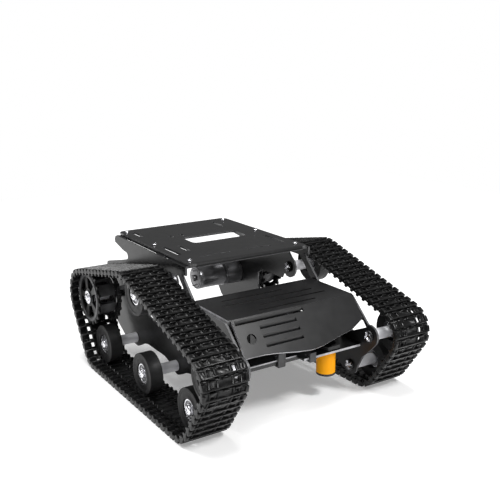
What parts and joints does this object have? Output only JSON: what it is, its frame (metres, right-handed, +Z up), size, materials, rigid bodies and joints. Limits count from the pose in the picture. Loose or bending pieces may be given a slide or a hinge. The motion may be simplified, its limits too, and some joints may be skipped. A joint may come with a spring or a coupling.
{
  "type": "tracked tank chassis",
  "caption": "Tracked robot chassis: sheet-metal hull with two decks, raised drive sprockets, return rollers, idlers, road wheels and segmented tracks.",
  "frame": {"origin": "on the ground, under the middle of the chassis's overall box", "axes": "+Z up, the nose points along -Y, the chassis's left side is +X"},
  "size_m": [0.23, 0.2841, 0.1219],
  "materials": {
    "black_sheet": "satin black powder coat",
    "track_plastic": "semi-matte moulded",
    "wheel_plastic": "matte moulded",
    "satin_metal": "satin turned",
    "bright_metal": "polished",
    "gunmetal": "dark satin",
    "sensor_yellow": "satin moulded",
    "black_plastic": "matte",
    "battery_wrap": "shrink film"
  },
  "bodies": {
    "root": {"upper_deck": "black_sheet", "lower_deck": "black_sheet", "bottom_plate": "black_sheet", "side_plate_left": "black_sheet", "side_plate_right": "black_sheet", "proximity_sensor": "sensor_yellow", "sensor_nut": "black_plastic", "battery_pack": "battery_wrap", "edge_clip_1": "black_plastic", "edge_clip_2": "black_plastic", "track_left": "track_plastic", "gearbox_left": "gunmetal", "motor_can_left": "gunmetal", "return_roller_axle_left": "satin_metal", "idler_wheel_axle_left": "satin_metal", "road_wheel_front_axle_left": "satin_metal", "road_wheel_middle_axle_left": "satin_metal", "road_wheel_rear_axle_left": "satin_metal", "track_right": "track_plastic", "gearbox_right": "gunmetal", "motor_can_right": "gunmetal", "return_roller_axle_right": "satin_metal", "idler_wheel_axle_right": "satin_metal", "road_wheel_front_axle_right": "satin_metal", "road_wheel_middle_axle_right": "satin_metal", "road_wheel_rear_axle_right": "satin_metal"},
    "drive_sprocket_left": {"sprocket_inner_disc_left": "track_plastic", "sprocket_outer_disc_left": "track_plastic", "sprocket_barrel_left": "track_plastic", "drive_coupler_left": "satin_metal"},
    "return_roller_left": {"return_roller_left": "wheel_plastic", "return_roller_bearing_left": "bright_metal"},
    "idler_wheel_left": {"idler_wheel_left": "wheel_plastic", "idler_wheel_bearing_left": "bright_metal"},
    "road_wheel_front_left": {"road_wheel_front_left": "wheel_plastic", "road_wheel_front_bearing_left": "bright_metal"},
    "road_wheel_middle_left": {"road_wheel_middle_left": "wheel_plastic", "road_wheel_middle_bearing_left": "bright_metal"},
    "road_wheel_rear_left": {"road_wheel_rear_left": "wheel_plastic", "road_wheel_rear_bearing_left": "bright_metal"},
    "drive_sprocket_right": {"sprocket_inner_disc_right": "track_plastic", "sprocket_outer_disc_right": "track_plastic", "sprocket_barrel_right": "track_plastic", "drive_coupler_right": "satin_metal"},
    "return_roller_right": {"return_roller_right": "wheel_plastic", "return_roller_bearing_right": "bright_metal"},
    "idler_wheel_right": {"idler_wheel_right": "wheel_plastic", "idler_wheel_bearing_right": "bright_metal"},
    "road_wheel_front_right": {"road_wheel_front_right": "wheel_plastic", "road_wheel_front_bearing_right": "bright_metal"},
    "road_wheel_middle_right": {"road_wheel_middle_right": "wheel_plastic", "road_wheel_middle_bearing_right": "bright_metal"},
    "road_wheel_rear_right": {"road_wheel_rear_right": "wheel_plastic", "road_wheel_rear_bearing_right": "bright_metal"}
  },
  "joints": [
    {"name": "drive_spin_left", "type": "hinge", "parent": "root", "child": "drive_sprocket_left", "pos_m": [0.095, 0.0961, 0.0662], "axis": [1, 0, 0], "continuous": true},
    {"name": "return_roller_spin_left", "type": "hinge", "parent": "root", "child": "return_roller_left", "pos_m": [0.096, 0.0004, 0.093], "axis": [1, 0, 0], "continuous": true},
    {"name": "idler_wheel_spin_left", "type": "hinge", "parent": "root", "child": "idler_wheel_left", "pos_m": [0.096, -0.1188, 0.0582], "axis": [1, 0, 0], "continuous": true},
    {"name": "road_wheel_front_spin_left", "type": "hinge", "parent": "root", "child": "road_wheel_front_left", "pos_m": [0.096, -0.095, 0.0233], "axis": [1, 0, 0], "continuous": true},
    {"name": "road_wheel_middle_spin_left", "type": "hinge", "parent": "root", "child": "road_wheel_middle_left", "pos_m": [0.096, -0.0102, 0.0233], "axis": [1, 0, 0], "continuous": true},
    {"name": "road_wheel_rear_spin_left", "type": "hinge", "parent": "root", "child": "road_wheel_rear_left", "pos_m": [0.096, 0.0746, 0.0233], "axis": [1, 0, 0], "continuous": true},
    {"name": "drive_spin_right", "type": "hinge", "parent": "root", "child": "drive_sprocket_right", "pos_m": [-0.095, 0.0961, 0.0662], "axis": [1, 0, 0], "continuous": true},
    {"name": "return_roller_spin_right", "type": "hinge", "parent": "root", "child": "return_roller_right", "pos_m": [-0.096, 0.0004, 0.093], "axis": [1, 0, 0], "continuous": true},
    {"name": "idler_wheel_spin_right", "type": "hinge", "parent": "root", "child": "idler_wheel_right", "pos_m": [-0.096, -0.1188, 0.0582], "axis": [1, 0, 0], "continuous": true},
    {"name": "road_wheel_front_spin_right", "type": "hinge", "parent": "root", "child": "road_wheel_front_right", "pos_m": [-0.096, -0.095, 0.0233], "axis": [1, 0, 0], "continuous": true},
    {"name": "road_wheel_middle_spin_right", "type": "hinge", "parent": "root", "child": "road_wheel_middle_right", "pos_m": [-0.096, -0.0102, 0.0233], "axis": [1, 0, 0], "continuous": true},
    {"name": "road_wheel_rear_spin_right", "type": "hinge", "parent": "root", "child": "road_wheel_rear_right", "pos_m": [-0.096, 0.0746, 0.0233], "axis": [1, 0, 0], "continuous": true}
  ],
  "couplings": [
    {"joint": "return_roller_spin_left", "follows": "drive_spin_left", "ratio": 1.427},
    {"joint": "idler_wheel_spin_left", "follows": "drive_spin_left", "ratio": 1.427},
    {"joint": "road_wheel_front_spin_left", "follows": "drive_spin_left", "ratio": 1.427},
    {"joint": "road_wheel_middle_spin_left", "follows": "drive_spin_left", "ratio": 1.427},
    {"joint": "road_wheel_rear_spin_left", "follows": "drive_spin_left", "ratio": 1.427},
    {"joint": "return_roller_spin_right", "follows": "drive_spin_right", "ratio": 1.427},
    {"joint": "idler_wheel_spin_right", "follows": "drive_spin_right", "ratio": 1.427},
    {"joint": "road_wheel_front_spin_right", "follows": "drive_spin_right", "ratio": 1.427},
    {"joint": "road_wheel_middle_spin_right", "follows": "drive_spin_right", "ratio": 1.427},
    {"joint": "road_wheel_rear_spin_right", "follows": "drive_spin_right", "ratio": 1.427}
  ]
}
